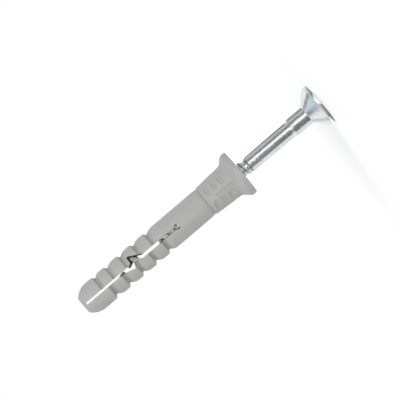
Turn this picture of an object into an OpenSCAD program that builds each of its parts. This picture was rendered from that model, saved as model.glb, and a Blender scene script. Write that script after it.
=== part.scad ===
// Hammer fixing plug: a split nylon plug with a countersunk collar and a hammer screw
// part-way in its bore. It stands on the head of the screw, with the plug's tip up.
// Sizes in millimetres. Z runs from the screw head up to the tip, the split looks along Y.

/* [Plug] */
// Length of the plug from the collar's top to its tip
plug_length = 38.8; // [37.3:0.5:41.8]
// Diameter of the smooth shank
shank_d = 6.1; // [5.9:0.1:6.4]
// Diameter of the flat at the tip
nose_flat_d = 3.3; // [3.1:0.1:3.6]
// Length of the rounded nose
nose_length = 3; // [2.6:0.1:3.4]

/* [Collar and neck] */
// Diameter of the collar
collar_d = 9.75; // [9.65:0.1:10.35]
// Height of the straight rim of the collar
collar_land = 1.25; // [1.1:0.05:1.4]
// Depth at which the collar's cone meets the neck
collar_depth = 2.57; // [2.45:0.03:2.75]
// Diameter of the neck under the collar
neck_d = 7.1; // [7:0.02:7.2]
// Diameter of the neck at its lower end
neck_end_d = 6.26; // [6.2:0.02:6.4]
// Depth at which the neck ends
neck_depth = 8.55; // [8.35:0.05:8.8]
// Spacing of the recesses in the neck
recess_pitch = 1.66; // [1.6:0.02:1.7]
// Depth of these recesses
recess_cut = 0.2; // [0.12:0.02:0.24]
// Angle from the front of the neck to its right recesses
recess_angle_right = 26; // [24:1:30]
// Angle from the front of the neck to its left recesses
recess_angle_left = 37; // [34:1:40]
// Height of the fine ridge along the front of the neck
ridge_height = 0.16; // [0.08:0.02:0.2]

/* [Barbs] */
// Spacing of the barbs on each leg
barb_pitch = 3.22; // [3.1:0.02:3.3]
// Depth of the valleys of the right leg
barb_depth_right = 0.5; // [0.4:0.02:0.6]
// Depth of the valleys of the left leg
barb_depth_left = 0.62; // [0.5:0.02:0.7]
// Length of each valley
barb_valley = 2.15; // [2:0.05:2.3]
// Length of the first valley of the right leg
first_valley = 1.65; // [1.5:0.05:1.8]
// Distance from the tip to the first barb of the right leg
first_barb_right = 4.45; // [4.3:0.05:4.8]
// Distance from the tip to the first barb of the left leg
first_barb_left = 5.75; // [5.5:0.05:6]
// Distance from the tip to the second barb of the right leg
second_barb = 7.4; // [7.3:0.05:7.6]

/* [Split] */
// Width of the split near the tip
split_w = 0.42; // [0.36:0.02:0.5]
// Width of the split past the locking teeth
split_wide_w = 0.57; // [0.52:0.01:0.65]
// Thickness of the bridge that closes the split at the tip
tip_bridge = 0.55; // [0.4:0.05:0.8]
// Diameter of the round hole that ends the split
relief_d = 1.15; // [1:0.05:1.3]
// Distance from the tip to that hole
relief_from_tip = 22.95; // [22.2:0.05:23.4]
// Distance from the tip to the locking teeth
teeth_from_tip = 11.87; // [11.7:0.01:12]

/* [Hammer screw] */
// Length of the screw
screw_length = 40; // [39.6:0.1:40.4]
// Height of the collar's top above the flat of the screw head
stand_off = 19.7; // [18.95:0.25:20.45]
// Diameter of the screw head
head_d = 8.9; // [8.6:0.05:8.95]
// Height of the straight rim of the head
head_land = 0.67; // [0.52:0.05:0.72]
// Height of the cone under the head
head_cone = 2.67; // [2.52:0.05:2.77]
// Diameter of the thicker shank under the head
stem_d = 3.7; // [3.6:0.05:3.85]
// Distance from the flat of the head to the end of the thicker shank
stem_end = 7.6; // [7.2:0.1:7.8]
// Diameter of the plain shank
rod_d = 3.25; // [3.1:0.05:3.3]
// Distance from the flat of the head to the end of the plain shank
rod_end = 18.1; // [17.8:0.1:18.4]
// Diameter of the core that carries the thread
core_d = 2.6; // [2.4:0.05:2.7]
// Length of the point
point_length = 3.5; // [3.2:0.1:3.8]
// Diameter of the blunt end of the point
point_d = 0.9; // [0.7:0.05:1]

/* [Cross recess] */
// Diameter of the cross recess
recess_d = 4.4; // [4:0.1:4.8]
// Depth of the cross recess
recess_depth = 2; // [1.6:0.1:2.2]
// Width of each wing of the cross
recess_wing = 0.95; // [0.8:0.05:1.1]

/* [Fits] */
// Radial clearance between the screw and the bore
bore_clear = 0.075; // [0.05:0.005:0.1]
// Clearance between the driven head and its seat
seat_clear = 0.06; // [0.04:0.01:0.08]

/* [Hidden] */
$fn = 96;
over = 0.2;
tip_z = stand_off + plug_length;
shank_r = shank_d / 2;
collar_r = collar_d / 2;
nose_drop = shank_r - nose_flat_d / 2;
nose_r = (nose_length * nose_length + nose_drop * nose_drop) / (2 * nose_drop);
rim_round = 0.18;
rim_draft = 0.1;
neck_fillet = 0.2;
neck_notch = 0.12;
neck_notch_step = 0.1;
neck_notch_length = 0.8;
neck_slope = (neck_d - neck_end_d) / 2 / (neck_depth - collar_depth);
recess_count = 3;
recess_first = collar_depth + 1.47;
recess_floor = 0.6;
recess_mouth = 1.6;
recess_reach = 3;
ridge_w = 0.6;
ridge_root = 0.15;
ridge_off = 0.33;
ridge_start = collar_depth + 0.4;
ridge_end = collar_depth + 3.8;
barb_count = 5;
barb_step = 0.42;
barb_floor = 0.24;
stem_r = stem_d / 2;
rod_r = rod_d / 2;
core_r = core_d / 2;
head_r = head_d / 2;
bore_r = rod_r + bore_clear;
stem_bore_r = stem_r + bore_clear;
stem_bore_depth = stem_end + 0.3;
seat_r = head_r + seat_clear;
seat_land = head_land + seat_clear;
seat_depth = head_land + head_cone + seat_clear;
end_bore_r = 0.95;
end_bore_length = 0.6;
end_bore_taper = 2.6;
stem_chamfer = 0.6;
rod_chamfer = 0.4;
head_edge = 0.3;
head_edge_in = 0.42;

// Split, measured from the tip along the plug and from the axis to the left
split_off = 0.1;
split_right = split_w / 2 - split_off;
split_left = split_w / 2 + split_off;
wide_right = split_wide_w / 2 - split_off;
wide_left = split_wide_w / 2 + split_off;

// Front of the split: a tooth of the left leg in a pocket of the right leg
pocket_depth = 1.73;
pocket_ramp = 3.08;
front_tooth = 0.38;
front_dip = 0.98;
front_ramp = 2.61;
shelf_y = 2.1;
shelf_reach = 1.2;

// Back of the split: teeth of both legs, ahead of the front ones
back_lift = 0.79;
back_wedge = 0.04;
back_pocket = 1.4;
back_tooth = 0.33;
back_stop = 0.21;

function upper(t) = tip_z - t;
function deep(d) = stand_off + d;
function neck_r(d) = neck_d / 2 - neck_slope * (d - collar_depth);

module nose_profile() {
    intersection() {
        translate([0, upper(nose_length)]) square([shank_r, nose_length]);
        translate([shank_r - nose_r, upper(nose_length)]) circle(r = nose_r, $fn = 180);
    }
}

module plug_profile() {
    nose_profile();
    polygon([
        [0, deep(0)],
        [collar_r - rim_round, deep(0)],
        [collar_r, deep(rim_round)],
        [collar_r, deep(collar_land - 3 * rim_draft)],
        [collar_r - rim_draft, deep(collar_land)],
        [neck_d / 2 + neck_fillet * 0.6, deep(collar_depth - neck_fillet * 0.6)],
        [neck_d / 2 + neck_fillet * 0.15, deep(collar_depth)],
        [neck_r(collar_depth + neck_fillet), deep(collar_depth + neck_fillet)],
        [neck_end_d / 2, deep(neck_depth)],
        [shank_r - neck_notch, deep(neck_depth + neck_notch_step)],
        [shank_r, deep(neck_depth + neck_notch_length)],
        [shank_r, upper(nose_length)],
        [0, upper(nose_length)]
    ]);
}

// One shallow recess with a flat floor in the neck, at depth d and turned by angle a
module neck_recess(d, a) {
    floor_y = recess_cut - neck_r(d);
    mouth_y = floor_y - recess_cut - over;
    rotate([0, 0, a])
        translate([0, 0, deep(d)])
        rotate([90, 0, 90])
        linear_extrude(height = recess_reach, center = true)
        polygon([
            [floor_y, -recess_floor / 2],
            [floor_y, recess_floor / 2],
            [mouth_y, recess_mouth / 2],
            [mouth_y, -recess_mouth / 2]
        ]);
}

// The recesses stand in two rows on the front and two on the back
module neck_recesses() {
    for (side = [0, 180], turn = [-recess_angle_left, recess_angle_right], i = [0 : recess_count - 1])
        neck_recess(recess_first + i * recess_pitch, side + turn);
}

// The fine ridge follows the taper of the neck
module neck_ridge() {
    translate([-ridge_off, -neck_r(ridge_start), deep(ridge_start)])
        rotate([-atan(neck_slope), 0, 0])
        linear_extrude(height = ridge_end - ridge_start)
        polygon([
            [-ridge_w / 2, ridge_root],
            [ridge_w / 2, ridge_root],
            [0, -ridge_height]
        ]);
}

// One ring valley that leaves a sharp barb on its tip side, at distance t from the tip
module barb_valley_ring(t, length, depth) {
    rise = length - barb_step - barb_floor;
    barb_r = (rise * rise + depth * depth) / (2 * depth);
    rotate_extrude()
        difference() {
            polygon([
                [shank_r + over, upper(t)],
                [shank_r, upper(t)],
                [shank_r - depth, upper(t + barb_step)],
                [shank_r - depth, upper(t + length)],
                [shank_r + over, upper(t + length)]
            ]);
            translate([shank_r - barb_r, upper(t + length)]) circle(r = barb_r, $fn = 180);
        }
}

module barb_valleys(first, length, second, depth) {
    barb_valley_ring(first, length, depth);
    for (i = [0 : barb_count - 2]) barb_valley_ring(second + i * barb_pitch, barb_valley, depth);
}

// The barbs of the two legs stand half a pitch apart
module leg_valleys() {
    intersection() {
        barb_valleys(first_barb_right, first_valley, second_barb, barb_depth_right);
        translate([0, -collar_r, deep(0)]) cube([collar_r, collar_d, plug_length]);
    }
    intersection() {
        barb_valleys(first_barb_left, barb_valley, second_barb + barb_pitch / 2, barb_depth_left);
        translate([-collar_r, -collar_r, deep(0)]) cube([collar_r, collar_d, plug_length]);
    }
}

module bore_profile() {
    polygon([
        [0, deep(-over)],
        [seat_r, deep(-over)],
        [seat_r, deep(seat_land)],
        [stem_bore_r, deep(seat_depth)],
        [stem_bore_r, deep(stem_bore_depth)],
        [bore_r, deep(stem_bore_depth + stem_chamfer)],
        [bore_r, upper(end_bore_length + end_bore_taper)],
        [end_bore_r, upper(end_bore_length)],
        [end_bore_r, upper(-over)],
        [0, upper(-over)]
    ]);
}

// Right side of the split on the front, in X and Z, from the tip down
function front_right(w) = [
    [split_right, upper(tip_bridge)],
    [split_right, upper(w - 0.44)],
    [split_right + 0.29, upper(w - 0.09)],
    [pocket_depth - 0.18, upper(w)],
    [pocket_depth, upper(w + 0.26)],
    [wide_right, upper(w + pocket_ramp)],
    [wide_right, upper(relief_from_tip)]
];

// Left side of the split on the front up to the tooth, and from the tooth to the tip
function front_left_deep(w) = [
    [-wide_left, upper(relief_from_tip)],
    [-wide_left, upper(w + front_ramp)],
    [0, upper(w + 1.85)]
];

function front_left_tip(w) = [
    [-0.21, upper(w + 0.5)],
    [-front_dip, upper(w + 0.15)],
    [-split_left - 0.11, upper(w - 1.91)],
    [-split_left, upper(w - 3.2)],
    [-split_left, upper(tip_bridge)]
];

// End of the tooth at the surface
function tooth_end(w) = [
    [front_tooth - 0.12, upper(w + 1.5)],
    [front_tooth, upper(w + 0.91)]
];

// End of the shelf that the tooth has under the surface
function shelf_end(w) = [
    [shelf_reach - 0.65, upper(w + 1.5)],
    [shelf_reach - 0.05, upper(w + 0.75)],
    [shelf_reach, upper(w + 0.5)],
    [shelf_reach - 0.3, upper(w + 0.38)],
    [0.1, upper(w + 0.52)]
];

module front_split(end) {
    w = teeth_from_tip;
    polygon(concat(front_right(w), front_left_deep(w), end, front_left_tip(w)));
}

// Outline of the split on the back, in X and Z
module back_split() {
    w = teeth_from_tip;
    polygon([
        [split_right, upper(tip_bridge)],
        [split_right, upper(w - 3.62)],
        [back_lift - 0.3, upper(w - 2.91)],
        [back_lift, upper(w - 1.5)],
        [back_lift - 0.18, upper(w - 1.01)],
        [-back_tooth + 0.12, upper(w - 0.82)],
        [-back_tooth, upper(w - 0.68)],
        [-back_tooth + 0.12, upper(w - 0.21)],
        [0.16, upper(w + 0.5)],
        [0.08, upper(w + 0.91)],
        [-back_stop, upper(w + 1.56)],
        [-back_stop + 0.1, upper(w + 1.85)],
        [0.63, upper(w + 1.77)],
        [wide_right, upper(w + front_ramp)],
        [wide_right, upper(relief_from_tip)],
        [-wide_left, upper(relief_from_tip)],
        [-wide_left, upper(w + 2.4)],
        [-0.95, upper(w + 1.6)],
        [-0.75, upper(w + 1.1)],
        [-back_pocket + 0.15, upper(w - 0.87)],
        [-back_pocket, upper(w - 1.2)],
        [-0.92, upper(w - 1.88)],
        [-0.09, upper(w - 1.94)],
        [back_wedge, upper(w - 2.09)],
        [back_wedge - 0.03, upper(w - 2.56)],
        [-split_left, upper(w - 3.5)],
        [-split_left, upper(tip_bridge)]
    ]);
}

module split() {
    w = teeth_from_tip;
    translate([0, -shelf_y, 0])
        rotate([90, 0, 0]) linear_extrude(height = collar_r - shelf_y) front_split(tooth_end(w));
    rotate([90, 0, 0]) linear_extrude(height = shelf_y) front_split(shelf_end(w));
    translate([0, collar_r, 0]) rotate([90, 0, 0]) linear_extrude(height = collar_r) back_split();
    translate([-split_off, collar_r, upper(relief_from_tip)])
        rotate([90, 0, 0]) cylinder(d = relief_d, h = collar_d);
}

module expansion_plug() {
    color("darkgray")
    difference() {
        union() {
            rotate_extrude() plug_profile();
            neck_ridge();
        }
        neck_recesses();
        leg_valleys();
        rotate_extrude() bore_profile();
        split();
    }
}

module screw_profile() {
    polygon([
        [0, 0],
        [head_r - head_edge_in, 0],
        [head_r - head_edge_in / 3, head_edge / 3],
        [head_r, head_edge],
        [head_r, head_land],
        [stem_r, head_land + head_cone],
        [stem_r, stem_end - stem_chamfer],
        [rod_r, stem_end],
        [rod_r, rod_end - rod_chamfer],
        [core_r, rod_end],
        [core_r, screw_length - point_length],
        [point_d / 2, screw_length],
        [0, screw_length]
    ]);
}

module cross_recess() {
    intersection() {
        translate([0, 0, -over]) cylinder(d1 = recess_d, d2 = recess_d / 3, h = recess_depth + over);
        union() {
            translate([-recess_wing / 2, -recess_d, -over]) cube([recess_wing, 2 * recess_d, 2 * recess_depth]);
            translate([-recess_d, -recess_wing / 2, -over]) cube([2 * recess_d, recess_wing, 2 * recess_depth]);
        }
    }
}

module hammer_screw() {
    color("silver")
    difference() {
        rotate_extrude() screw_profile();
        cross_recess();
    }
}

expansion_plug();
hammer_screw();
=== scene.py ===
import math

import bpy
from mathutils import Matrix, Vector


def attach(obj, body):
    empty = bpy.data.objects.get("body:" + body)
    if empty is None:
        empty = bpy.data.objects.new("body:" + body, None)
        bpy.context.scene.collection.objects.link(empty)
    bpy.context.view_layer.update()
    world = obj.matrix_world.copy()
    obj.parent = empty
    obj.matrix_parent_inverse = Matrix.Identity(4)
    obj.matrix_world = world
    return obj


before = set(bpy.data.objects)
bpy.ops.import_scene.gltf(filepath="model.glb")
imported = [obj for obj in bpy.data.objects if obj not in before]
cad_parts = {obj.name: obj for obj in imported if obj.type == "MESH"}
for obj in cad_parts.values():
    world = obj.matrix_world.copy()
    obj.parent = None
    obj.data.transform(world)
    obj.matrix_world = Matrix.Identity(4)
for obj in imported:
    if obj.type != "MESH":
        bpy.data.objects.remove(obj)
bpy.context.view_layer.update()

MM = 0.001
WHITE = (1.0, 1.0, 1.0)

# The screw, as the solids have it
SCREW_LENGTH = 40.0 * MM
ROD_END = 18.1 * MM
CORE_R = 1.3 * MM
POINT_START = 36.5 * MM
POINT_R = 0.45 * MM

# The thread: one crest is on the camera's side, three quarters of a turn from +X, at THREAD_CREST
THREAD_PITCH = 1.553 * MM
THREAD_R = 1.67 * MM
THREAD_CREST = 18.75 * MM
CAMERA_TURN = 0.75
THREAD_START = ROD_END - 0.35 * MM
THREAD_END = SCREW_LENGTH - 0.15 * MM
THREAD_EDGE = 0.1 * MM
THREAD_SINK = 0.06 * MM
STEPS_PER_TURN = 72
RISE_PITCHES = 0.3
RUNOUT_PITCHES = 0.35
# Height of the thread at places along the screw, where it shrinks to clear the plug's narrow end
THREAD_FADE = (
    (33.8 * MM, THREAD_R - CORE_R),
    (35.4 * MM, 0.12 * MM),
    (36.5 * MM, 0.09 * MM),
    (38.2 * MM, 0.03 * MM),
)
# Outline of the thread: place along the screw in pitches, and share of the height
THREAD_SECTION = (
    (-0.22, 0.0),
    (-0.14, 0.55),
    (-0.09, 0.92),
    (-0.05, 1.0),
    (0.05, 1.0),
    (0.09, 0.92),
    (0.14, 0.55),
    (0.22, 0.0),
)

# Noise lies mostly in this span
NOISE_SPAN = (0.3, 0.7)

# Grey nylon: tones by its cloudy noise, and painted shade that darkens grooves and recesses
NYLON_TONES = (
    (0.3, (0.350, 0.351, 0.345)),
    (0.5, (0.360, 0.361, 0.357)),
    (0.7, (0.370, 0.371, 0.368)),
)
RECESS_SHADE_TONE = (0.25, 0.253, 0.232)
RECESS_SHADE_REACH = 1.4 * MM
RECESS_SHADE_SPAN = (0.3, 0.95)
NYLON_ROUGHNESS = (0.42, 0.56)

# Zinc: tones by its cloudy noise, its small spots, and painted shade on the thread's flank
ZINC_TONES = (
    (0.3, (0.76, 0.785, 0.80)),
    (0.5, (0.83, 0.85, 0.86)),
    (0.7, (0.88, 0.895, 0.90)),
)
SPOT_TONES = ((0.36, (0.87, 0.88, 0.88)), (0.64, WHITE))
FLANK_SHADE_TONE = (0.28, 0.29, 0.28)
FLANK_SHADE_TONES = (
    (0.0, WHITE),
    (0.07, WHITE),
    (0.14, FLANK_SHADE_TONE),
    (0.32, FLANK_SHADE_TONE),
    (0.40, WHITE),
    (1.0, WHITE),
)
# Painted shade on the thread's flank rises from nothing to full over this part of the screw
FLANK_SHADE_PART = (24.0 * MM, 30.0 * MM)
ZINC_ROUGHNESS = (0.14, 0.26)
ROUGH_PART = (ROD_END, ROD_END + 2.0 * MM)
THREAD_ROUGHNESS = 0.36

# The floor's own glow rises away from the object, so that the shadow near it shows
FLOOR_REACH = 6.0
FLOOR_TONE = (0.85, 0.85, 0.85)
GLOW_RADII = (0.03, 0.5)
GLOW_LEVELS = (0.10, 0.47)

# The world's light on surfaces, a little below white
SOFT_TONE = (0.99, 0.995, 1.0)
SOFT_LEVEL = 0.635

# Edges of the cards that metal reflects: radius and height of the lower and the upper one
FLOOR = ((0.00435, 0.00005), (0.1, 0.0004))
FLANK = ((0.009, 0.0002), (0.02, 0.0003))
RIM = ((0.00435, 0.0003), (0.009, 0.0004))
LOW = ((0.1, 0.0004), (0.1, 0.026))
HIGH = ((0.1, 0.06), (0.1, 0.12))
EDGE = ((0.1, 0.0004), (0.1, 0.014))
LIFT = ((0.097, 0.07), (0.097, 0.17))
SLOT = ((0.1, 0.028), (0.1, 0.058))
SLOT_HIGH = ((0.3, 0.13), (0.3, 0.19))
STEP = ((0.3, 0.195), (0.3, 0.32))
STEP_SIDE = ((0.3, 0.10), (0.3, 0.32))
TOP = ((0.0, 0.25), (0.15, 0.25))
CARD_DEGREES = 4.0

# The cards: name, first and last bearing in degrees from the camera towards +X, edges, level
CARDS = (
    ("card_front_low", -62.0, 6.0, LOW, (0.225, 0.24, 0.235)),
    ("card_front_high", -62.0, -14.0, HIGH, (0.225, 0.24, 0.235)),
    ("card_side_low", 36.0, 70.0, LOW, (0.245, 0.255, 0.25)),
    ("card_pale_low", 70.0, 124.0, LOW, (0.56, 0.57, 0.57)),
    ("card_left_low", -170.0, -62.0, LOW, (0.88, 0.90, 0.91)),
    ("card_side_high", 36.0, 70.0, HIGH, (0.245, 0.255, 0.25)),
    ("card_pale_high", 70.0, 124.0, HIGH, (0.56, 0.57, 0.57)),
    ("card_left_high", -170.0, -62.0, HIGH, (0.88, 0.90, 0.91)),
    ("card_edge", 124.0, 176.0, EDGE, (0.11, 0.115, 0.115)),
    ("card_stem_front", -30.0, -1.0, FLOOR, (0.20, 0.22, 0.215)),
    ("card_stem_bright", -1.0, 34.0, FLOOR, (1.36, 1.38, 1.36)),
    ("card_stem_dark", -74.0, -30.0, FLOOR, (0.085, 0.096, 0.092)),
    ("card_stem_side", 34.0, 64.0, FLOOR, (0.24, 0.25, 0.245)),
    ("card_stem_pale", 64.0, 92.0, FLOOR, (0.60, 0.61, 0.61)),
    ("card_stem_edge", 92.0, 176.0, FLOOR, (0.32, 0.33, 0.33)),
    ("card_stem_left", -170.0, -74.0, FLOOR, (0.86, 0.88, 0.89)),
    ("card_flank", -74.0, 64.0, FLANK, (0.88, 0.93, 0.93)),
    ("card_rim_front", -36.0, 4.0, RIM, (0.50, 0.53, 0.56)),
    ("card_rim_dark", -58.0, -36.0, RIM, (0.26, 0.27, 0.28)),
    ("card_rim_left", -176.0, -58.0, RIM, (1.4, 1.4, 1.4)),
    ("card_rim_side", 40.0, 52.0, RIM, (0.36, 0.37, 0.38)),
    ("card_rim_pale", 52.0, 66.0, RIM, (0.85, 0.86, 0.88)),
    ("card_rim_shade", 66.0, 78.0, RIM, (0.42, 0.42, 0.42)),
    ("card_rim_end", 78.0, 176.0, RIM, (1.1, 1.1, 1.1)),
    ("card_lift", 113.0, 128.0, LIFT, (0.12, 0.12, 0.13)),
    ("card_dip", -137.0, -124.0, LIFT, (0.55, 0.58, 0.58)),
    ("card_fade", -176.0, -137.0, LIFT, (0.86, 0.89, 0.89)),
    ("card_slot", -14.0, 12.0, SLOT, (3.6, 3.6, 3.5)),
    ("card_slot_high", -14.0, 12.0, SLOT_HIGH, (9.0, 9.0, 8.8)),
    ("card_step", -14.0, 6.0, STEP, (0.30, 0.32, 0.32)),
    ("card_step_side", 36.0, 70.0, STEP_SIDE, (0.245, 0.255, 0.25)),
    ("card_step_pale", 70.0, 124.0, STEP_SIDE, (0.50, 0.51, 0.51)),
    ("card_top", -72.0, 180.0, TOP, (0.66, 0.74, 0.81)),
    ("card_top_pale", 180.0, 288.0, TOP, (1.0, 1.03, 1.06)),
)

# The lamps: name, place, power and colour
LAMP_AIM = Vector((0.0, 0.0, 0.03))
LAMP_SIZE = 0.4
LAMPS = (
    ("key", (0.13, -0.5, 0.4), 2.3, WHITE),
    ("back", (0.0, 0.6, 0.35), 1.3, WHITE),
    ("fill", (-0.5, -0.25, 0.2), 0.16, (1.0, 0.98, 0.75)),
)

# The camera of the photo: its frame, its scale and the plug's direction in it
IMAGE_SIZE = 400.0
PIXELS_PER_MM = 5.317
CAMERA_PLACE = Vector((0.93 * MM, -0.6, 43.75 * MM))
CAMERA_AIM = Vector((0.93 * MM, 0.0, 28.99 * MM))
SCREW_ALONG = Vector((0.7609, 0.6488))
SENSOR_WIDTH = 36.0


def add_object(name, data):
    """Makes an object in the scene."""
    obj = bpy.data.objects.new(name, data)
    bpy.context.scene.collection.objects.link(obj)
    return obj


def add_mesh(name, points, faces):
    """Makes a mesh object in the scene."""
    mesh = bpy.data.meshes.new(name)
    mesh.from_pydata(points, [], faces)
    mesh.validate()
    mesh.update()
    return add_object(name, mesh)


def dress(obj, material):
    """Gives an object one material."""
    obj.data.materials.clear()
    obj.data.materials.append(material)


def empty_tree(owner):
    """Gives a material or a world an empty node tree."""
    owner.use_nodes = True
    owner.node_tree.nodes.clear()
    return owner.node_tree


def surface(material):
    """Gives a material one plain shader and returns its tree and that shader."""
    tree = empty_tree(material)
    output = tree.nodes.new("ShaderNodeOutputMaterial")
    shader = tree.nodes.new("ShaderNodeBsdfPrincipled")
    tree.links.new(shader.outputs["BSDF"], output.inputs["Surface"])
    return tree, shader


def object_place(tree):
    """Place on the object, in metres."""
    return tree.nodes.new("ShaderNodeTexCoord").outputs["Object"]


def object_axes(tree):
    """Place on the object as separate X, Y and Z."""
    parts = tree.nodes.new("ShaderNodeSeparateXYZ")
    tree.links.new(object_place(tree), parts.inputs["Vector"])
    return parts.outputs


def coordinates(tree, scale):
    """Place on the object, stretched by scale along each axis."""
    mapping = tree.nodes.new("ShaderNodeMapping")
    mapping.inputs["Scale"].default_value = scale
    tree.links.new(object_place(tree), mapping.inputs["Vector"])
    return mapping.outputs["Vector"]


def noise(tree, vector, scale, detail, roughness=0.5):
    """Noise at a scale, in waves to the metre."""
    node = tree.nodes.new("ShaderNodeTexNoise")
    node.inputs["Scale"].default_value = scale
    node.inputs["Detail"].default_value = detail
    node.inputs["Roughness"].default_value = roughness
    tree.links.new(vector, node.inputs["Vector"])
    return node.outputs["Fac"]


def ramp(tree, value, stops):
    """Colours by a value, from stops of place and colour."""
    node = tree.nodes.new("ShaderNodeValToRGB")
    ends = node.color_ramp.elements
    ends[0].position, ends[0].color = stops[0][0], (*stops[0][1], 1.0)
    ends[1].position, ends[1].color = stops[-1][0], (*stops[-1][1], 1.0)
    for place, colour in stops[1:-1]:
        ends.new(place).color = (*colour, 1.0)
    tree.links.new(value, node.inputs["Fac"])
    return node.outputs["Color"]


def map_range(tree, value, source, target):
    """Maps a value from one span to another."""
    node = tree.nodes.new("ShaderNodeMapRange")
    for name, number in zip(("From Min", "From Max", "To Min", "To Max"), (*source, *target)):
        node.inputs[name].default_value = number
    tree.links.new(value, node.inputs["Value"])
    return node.outputs["Result"]


def calculate(tree, operation, first, second):
    """One step of arithmetic on two values, each an output or a number."""
    node = tree.nodes.new("ShaderNodeMath")
    node.operation = operation
    for socket, value in zip(node.inputs, (first, second)):
        if isinstance(value, float):
            socket.default_value = value
        else:
            tree.links.new(value, socket)
    return node.outputs["Value"]


def multiply(tree, tint, shade, amount=None):
    """Multiplies a colour by a shade, in full or by a given amount."""
    mix = tree.nodes.new("ShaderNodeMixRGB")
    mix.blend_type = "MULTIPLY"
    if amount is None:
        mix.inputs["Fac"].default_value = 1.0
    else:
        tree.links.new(amount, mix.inputs["Fac"])
    tree.links.new(tint, mix.inputs["Color1"])
    tree.links.new(shade, mix.inputs["Color2"])
    return mix.outputs["Color"]


def bump(tree, height, strength, distance, under=None):
    """Bump from a height, over another bump where one is given."""
    node = tree.nodes.new("ShaderNodeBump")
    node.inputs["Strength"].default_value = strength
    node.inputs["Distance"].default_value = distance
    tree.links.new(height, node.inputs["Height"])
    if under is not None:
        tree.links.new(under, node.inputs["Normal"])
    return node.outputs["Normal"]


def seen_directly(tree):
    """One for rays from the camera and for reflections, else zero."""
    path = tree.nodes.new("ShaderNodeLightPath")
    return calculate(tree, "MAXIMUM", path.outputs["Is Camera Ray"], path.outputs["Is Glossy Ray"])


def painted_recess_shade(tree, tint):
    """Paints shade into a colour: darker in grooves and recesses, where the ambient occlusion is low.
    """
    near = tree.nodes.new("ShaderNodeAmbientOcclusion")
    near.samples = 8
    near.inputs["Distance"].default_value = RECESS_SHADE_REACH
    mix = tree.nodes.new("ShaderNodeMixRGB")
    mix.inputs["Color1"].default_value = (*RECESS_SHADE_TONE, 1.0)
    tree.links.new(map_range(tree, near.outputs["AO"], RECESS_SHADE_SPAN, (0.0, 1.0)), mix.inputs["Fac"])
    tree.links.new(tint, mix.inputs["Color2"])
    return mix.outputs["Color"]


def nylon():
    """Grey moulded nylon: fine grain, slow cloudy colour, a soft satin gloss, and painted shade in its
    grooves and recesses.
    """
    material = bpy.data.materials.new("grey_nylon")
    tree, shader = surface(material)
    even = coordinates(tree, (1.0, 1.0, 1.0))
    flow = coordinates(tree, (1.0, 1.0, 0.35))
    cloud = noise(tree, flow, scale=260.0, detail=3.0)
    grain = noise(tree, even, scale=5200.0, detail=2.0)
    ripple = noise(tree, flow, scale=900.0, detail=2.0)
    # Painted shade: the nylon turns darker in grooves and recesses, where shade falls
    tint = painted_recess_shade(tree, ramp(tree, cloud, NYLON_TONES))
    tree.links.new(tint, shader.inputs["Base Color"])
    roughness = map_range(tree, ripple, NOISE_SPAN, NYLON_ROUGHNESS)
    tree.links.new(roughness, shader.inputs["Roughness"])
    shader.inputs["Specular IOR Level"].default_value = 0.42
    shader.inputs["Subsurface Weight"].default_value = 0.35
    shader.inputs["Subsurface Radius"].default_value = (1.0, 1.0, 0.9)
    shader.inputs["Subsurface Scale"].default_value = 0.5 * MM
    fine = bump(tree, grain, strength=0.18, distance=0.02 * MM)
    rippled = bump(tree, ripple, strength=0.15, distance=0.05 * MM, under=fine)
    tree.links.new(rippled, shader.inputs["Normal"])
    return material


def along_screw(tree, part, amount):
    """Zero up to the start of a part of the screw, rising to amount at its end."""
    return map_range(tree, object_axes(tree)["Z"], part, (0.0, amount))


def painted_flank_shade(tree, tint):
    """Paints shade on the flank of the thread that looks to the point, in a helical band that fades in
    along the screw.
    """
    axes = object_axes(tree)
    angle = calculate(tree, "ARCTAN2", axes["Y"], axes["X"])
    turns = calculate(tree, "DIVIDE", angle, 2.0 * math.pi)
    rise = calculate(tree, "DIVIDE", axes["Z"], THREAD_PITCH)
    apart = calculate(tree, "SUBTRACT", rise, turns)
    from_crest = calculate(tree, "ADD", apart, CAMERA_TURN - THREAD_CREST / THREAD_PITCH)
    across = calculate(tree, "FLOORED_MODULO", from_crest, 1.0)
    return multiply(tree, tint, ramp(tree, across, FLANK_SHADE_TONES), along_screw(tree, FLANK_SHADE_PART, 1.0))


def zinc():
    """Bright zinc plating over drawn steel: small spots, faint clouds, fine lines along the axis and
    painted shade on the thread's flank.
    """
    material = bpy.data.materials.new("zinc_steel")
    tree, shader = surface(material)
    even = coordinates(tree, (1.0, 1.0, 1.0))
    drawn = coordinates(tree, (1.0, 1.0, 0.06))
    cloud = noise(tree, even, scale=420.0, detail=3.0)
    mottle = noise(tree, even, scale=2600.0, detail=2.0)
    lines = noise(tree, drawn, scale=4200.0, detail=3.0, roughness=0.6)
    spotted = multiply(tree, ramp(tree, cloud, ZINC_TONES), ramp(tree, mottle, SPOT_TONES))
    # Painted shade: the thread's flank that looks to the point is darkened, where shade falls
    tree.links.new(painted_flank_shade(tree, spotted), shader.inputs["Base Color"])
    shader.inputs["Metallic"].default_value = 1.0
    plain = map_range(tree, lines, NOISE_SPAN, ZINC_ROUGHNESS)
    rough = calculate(tree, "ADD", plain, along_screw(tree, ROUGH_PART, THREAD_ROUGHNESS))
    tree.links.new(rough, shader.inputs["Roughness"])
    fine = bump(tree, lines, strength=0.25, distance=0.01 * MM)
    dimples = bump(tree, mottle, strength=0.65, distance=0.04 * MM, under=fine)
    waves = bump(tree, cloud, strength=0.10, distance=0.04 * MM, under=dimples)
    tree.links.new(waves, shader.inputs["Normal"])
    return material


def core_radius(z):
    """Radius of the threaded core, which tapers at the point."""
    if z < POINT_START:
        return CORE_R
    share = (z - POINT_START) / (SCREW_LENGTH - POINT_START)
    return CORE_R + (POINT_R - CORE_R) * share


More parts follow.
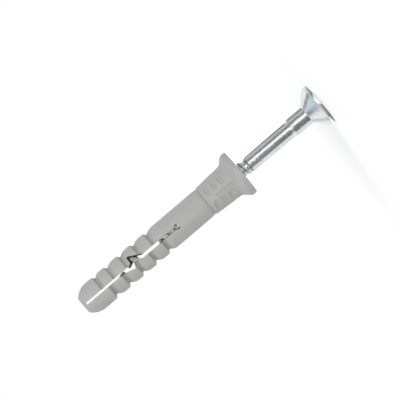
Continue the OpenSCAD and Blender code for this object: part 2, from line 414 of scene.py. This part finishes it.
def full_height(z):
    """Height of the thread, which shrinks towards the point."""
    if z <= THREAD_FADE[0][0]:
        return THREAD_FADE[0][1]
    for (near, tall), (far, small) in zip(THREAD_FADE, THREAD_FADE[1:]):
        if z <= far:
            return tall + (small - tall) * (z - near) / (far - near)
    return THREAD_FADE[-1][1]


def crest_height(z):
    """Height of the thread over its core, with its rise from the shank and its run-out."""
    rise = min(1.0, max(0.0, (z - THREAD_START) / (RISE_PITCHES * THREAD_PITCH)))
    runout = min(1.0, max(0.0, (THREAD_END - z) / (RUNOUT_PITCHES * THREAD_PITCH)))
    return full_height(z) * rise * runout


def strip_faces(steps, count, closed):
    """Faces between neighbouring rows of points, where a closed row ends at its start."""
    faces = []
    for i in range(steps):
        base = i * count
        for a in range(base, base + count - 1):
            faces.append((a, a + count, a + count + 1, a + 1))
        if closed:
            faces.append((base, base + count - 1, base + 2 * count - 1, base + count))
    return faces


def thread():
    """One right-hand helical ridge on the core of the screw."""
    turns = (THREAD_END - THREAD_START) / THREAD_PITCH
    steps = int(turns * STEPS_PER_TURN)
    front = math.radians(360.0 * CAMERA_TURN)
    phase = front - 2.0 * math.pi * (THREAD_CREST - THREAD_START) / THREAD_PITCH
    points = []
    for i in range(steps + 1):
        turn = phase + 2.0 * math.pi * turns * i / steps
        middle = THREAD_START + (THREAD_END - THREAD_START) * i / steps
        height = crest_height(middle)
        for along, share in THREAD_SECTION:
            z = min(max(middle + along * THREAD_PITCH, THREAD_START - THREAD_EDGE), THREAD_END)
            sink = THREAD_SINK if share == 0.0 else 0.0
            r = core_radius(z) - sink + height * share
            points.append((r * math.cos(turn), r * math.sin(turn), z))
    count = len(THREAD_SECTION)
    last = steps * count
    faces = strip_faces(steps, count, True)
    faces.append(tuple(range(count)))
    faces.append(tuple(reversed(range(last, last + count))))
    obj = add_mesh("screw_thread", points, faces)
    for face in obj.data.polygons:
        face.use_smooth = True
    return obj


def floor_material():
    """Pale matte floor that shows white away from the object's shadow."""
    material = bpy.data.materials.new("pale_floor")
    tree, shader = surface(material)
    shader.inputs["Base Color"].default_value = (*FLOOR_TONE, 1.0)
    shader.inputs["Roughness"].default_value = 0.9
    shader.inputs["Specular IOR Level"].default_value = 0.0
    shader.inputs["Emission Color"].default_value = (*WHITE, 1.0)
    away = tree.nodes.new("ShaderNodeVectorMath")
    away.operation = "LENGTH"
    tree.links.new(object_place(tree), away.inputs[0])
    glow = map_range(tree, away.outputs["Value"], GLOW_RADII, GLOW_LEVELS)
    lift = calculate(tree, "MULTIPLY", seen_directly(tree), glow)
    tree.links.new(lift, shader.inputs["Emission Strength"])
    return material


def floor():
    """The floor under the object."""
    near = -FLOOR_REACH
    far = FLOOR_REACH
    corners = [(near, near, 0.0), (far, near, 0.0), (far, far, 0.0), (near, far, 0.0)]
    obj = add_mesh("floor", corners, [(0, 1, 2, 3)])
    dress(obj, floor_material())


def card_material(name, level):
    """A card's even glow."""
    material = bpy.data.materials.new(name)
    tree = empty_tree(material)
    output = tree.nodes.new("ShaderNodeOutputMaterial")
    glow = tree.nodes.new("ShaderNodeEmission")
    glow.inputs["Color"].default_value = (*level, 1.0)
    tree.links.new(glow.outputs["Emission"], output.inputs["Surface"])
    return material


def card(name, first, last, edges, level):
    """A card round the object between two bearings, which shows in reflections only."""
    steps = max(2, int(abs(last - first) / CARD_DEGREES))
    points = []
    for i in range(steps + 1):
        bearing = math.radians(first + (last - first) * i / steps)
        for radius, height in edges:
            points.append((radius * math.sin(bearing), -radius * math.cos(bearing), height))
    obj = add_mesh(name, points, strip_faces(steps, len(edges), False))
    dress(obj, card_material(name, level))
    obj.visible_camera = False
    obj.visible_diffuse = False
    obj.visible_shadow = False


def lamp(name, place, power, colour):
    """A round soft lamp that doesn't show in reflections."""
    data = bpy.data.lights.new(name, "AREA")
    data.shape = "DISK"
    data.size = LAMP_SIZE
    data.energy = power
    data.color = colour
    obj = add_object(name, data)
    obj.location = place
    obj.rotation_euler = (LAMP_AIM - Vector(place)).to_track_quat("-Z", "Y").to_euler()
    obj.visible_glossy = False


def world_light():
    """White to the camera and in reflections, a little softer on the surfaces."""
    world = bpy.data.worlds.new("studio")
    bpy.context.scene.world = world
    tree = empty_tree(world)
    output = tree.nodes.new("ShaderNodeOutputWorld")
    mix = tree.nodes.new("ShaderNodeMixShader")
    tree.links.new(seen_directly(tree), mix.inputs["Fac"])
    for socket, tone, level in ((1, SOFT_TONE, SOFT_LEVEL), (2, WHITE, 1.0)):
        background = tree.nodes.new("ShaderNodeBackground")
        background.inputs["Color"].default_value = (*tone, 1.0)
        background.inputs["Strength"].default_value = level
        tree.links.new(background.outputs["Background"], mix.inputs[socket])
    tree.links.new(mix.outputs["Shader"], output.inputs["Surface"])


def photo_camera():
    """Side-on camera of the photo, rolled so that the plug's tip points to the lower left."""
    back = (CAMERA_PLACE - CAMERA_AIM).normalized()
    down = Vector((0.0, 0.0, -1.0))
    down = (down - back * down.dot(back)).normalized()
    left = Vector((-1.0, 0.0, 0.0))
    left = (left - back * left.dot(back)).normalized()
    right_axis = down * SCREW_ALONG[0] + left * SCREW_ALONG[1]
    up_axis = down * SCREW_ALONG[1] - left * SCREW_ALONG[0]
    data = bpy.data.cameras.new("photo_camera")
    data.sensor_fit = "HORIZONTAL"
    data.sensor_width = SENSOR_WIDTH
    seen_width = IMAGE_SIZE / PIXELS_PER_MM * MM
    data.lens = SENSOR_WIDTH * (CAMERA_PLACE - CAMERA_AIM).length / seen_width
    data.clip_start = 0.01
    data.clip_end = 50.0
    obj = add_object("photo_camera", data)
    turn = Matrix((right_axis, up_axis, back)).transposed().to_4x4()
    obj.matrix_world = Matrix.Translation(CAMERA_PLACE) @ turn
    bpy.context.scene.camera = obj


plug_material = nylon()
screw_material = zinc()
dress(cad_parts["expansion_plug"], plug_material)
dress(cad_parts["hammer_screw"], screw_material)

ridge = thread()
dress(ridge, screw_material)
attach(ridge, "screw")

floor()
for name, first, last, edges, level in CARDS:
    card(name, first, last, edges, level)
for name, place, power, colour in LAMPS:
    lamp(name, place, power, colour)
world_light()
photo_camera()
bpy.context.scene.view_settings.view_transform = "Standard"
